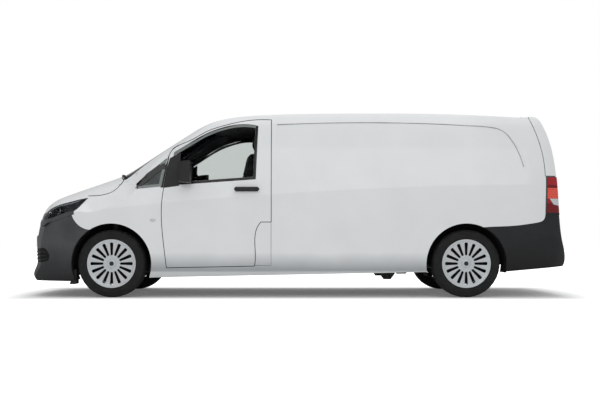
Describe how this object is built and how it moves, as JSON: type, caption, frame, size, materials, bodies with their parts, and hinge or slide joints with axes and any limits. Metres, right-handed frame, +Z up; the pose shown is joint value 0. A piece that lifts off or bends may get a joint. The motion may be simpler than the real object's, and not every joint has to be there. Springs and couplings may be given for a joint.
{
  "type": "panel van",
  "caption": "Extra-long panel van with hollow cab and load space, hinged front doors, hood, tailgate and fuel flap, steered front wheels and slotted steel wheels.",
  "frame": {"origin": "on the ground, under the middle of the van's length and width", "axes": "+Z up, -X to the front of the van, -Y to its left side"},
  "size_m": [5.3766, 2.2482, 1.8447],
  "materials": {
    "body_paint": "gloss",
    "black_plastic": "grained",
    "bumper_plastic": "grained",
    "trim_plastic": "grained",
    "glass": "clear",
    "lamp_clear": "clear",
    "lamp_red": "clear",
    "rubber": "matte",
    "wheel_silver": "satin",
    "seat_cloth": "woven",
    "chassis_black": "satin",
    "cast_metal": "cast",
    "inner_paint": "satin"
  },
  "bodies": {
    "body": {"floor_pan": "inner_paint", "chassis_rails": "chassis_black", "side_panel_left": "body_paint", "side_panel_right": "body_paint", "sliding_door_right": "body_paint", "roof_panel": "body_paint", "screen_surround": "body_paint", "wing_left": "body_paint", "wing_right": "body_paint", "front_bumper": "bumper_plastic", "grille": "black_plastic", "headlights": "lamp_clear", "rear_bumper": "bumper_plastic", "tail_lights": "lamp_red", "fixed_glass": "glass", "bulkhead": "inner_paint", "dashboard": "trim_plastic", "steering_wheel": "trim_plastic", "seats": "seat_cloth", "arch_liners": "black_plastic", "engine_block": "cast_metal", "front_subframe": "chassis_black", "rear_axle": "chassis_black", "exhaust": "cast_metal", "fuel_tank": "black_plastic"},
    "hood": {"hood": "body_paint"},
    "tailgate": {"tailgate": "body_paint", "tailgate_glass": "glass"},
    "fuel_flap": {"fuel_flap": "body_paint"},
    "door_left": {"door_left": "body_paint", "door_glass_left": "glass", "mirror_left": "black_plastic"},
    "knuckle_left": {"knuckle_left": "cast_metal"},
    "front_wheel_left": {"tyre_front_left": "rubber", "wheel_front_left": "wheel_silver"},
    "rear_wheel_left": {"tyre_rear_left": "rubber", "wheel_rear_left": "wheel_silver"},
    "door_right": {"door_right": "body_paint", "door_glass_right": "glass", "mirror_right": "black_plastic"},
    "knuckle_right": {"knuckle_right": "cast_metal"},
    "front_wheel_right": {"tyre_front_right": "rubber", "wheel_front_right": "wheel_silver"},
    "rear_wheel_right": {"tyre_rear_right": "rubber", "wheel_rear_right": "wheel_silver"}
  },
  "joints": [
    {"name": "door_left_hinge", "type": "hinge", "parent": "body", "child": "door_left", "pos_m": [-1.2915, -0.963, 0.9], "axis": [0, 0, -1], "range_deg": [0, 65]},
    {"name": "steer_left", "type": "hinge", "parent": "body", "child": "knuckle_left", "pos_m": [-1.7825, -0.745, 0.328], "axis": [0, 0, 1], "range_deg": [-32, 32]},
    {"name": "front_wheel_left_spin", "type": "hinge", "parent": "knuckle_left", "child": "front_wheel_left", "pos_m": [-1.7825, -0.825, 0.328], "axis": [0, 1, 0], "continuous": true},
    {"name": "rear_wheel_left_spin", "type": "hinge", "parent": "body", "child": "rear_wheel_left", "pos_m": [1.6475, -0.825, 0.328], "axis": [0, 1, 0], "continuous": true},
    {"name": "door_right_hinge", "type": "hinge", "parent": "body", "child": "door_right", "pos_m": [-1.2915, 0.963, 0.9], "axis": [0, 0, 1], "range_deg": [0, 65]},
    {"name": "steer_right", "type": "hinge", "parent": "body", "child": "knuckle_right", "pos_m": [-1.7825, 0.745, 0.328], "axis": [0, 0, 1], "range_deg": [-32, 32]},
    {"name": "front_wheel_right_spin", "type": "hinge", "parent": "knuckle_right", "child": "front_wheel_right", "pos_m": [-1.7825, 0.825, 0.328], "axis": [0, 1, 0], "continuous": true},
    {"name": "rear_wheel_right_spin", "type": "hinge", "parent": "body", "child": "rear_wheel_right", "pos_m": [1.6475, 0.825, 0.328], "axis": [0, 1, 0], "continuous": true},
    {"name": "hood_hinge", "type": "hinge", "parent": "body", "child": "hood", "pos_m": [-1.7, 0, 1.235], "axis": [0, 1, 0], "range_deg": [0, 55]},
    {"name": "tailgate_hinge", "type": "hinge", "parent": "body", "child": "tailgate", "pos_m": [2.2915, 0, 1.83], "axis": [0, -1, 0], "range_deg": [0, 85]},
    {"name": "fuel_flap_hinge", "type": "hinge", "parent": "body", "child": "fuel_flap", "pos_m": [-0.2415, -0.966, 0.52], "axis": [0, 0, 1], "range_deg": [0, 85]}
  ],
  "couplings": [
    {"joint": "steer_right", "follows": "steer_left", "ratio": 1}
  ]
}
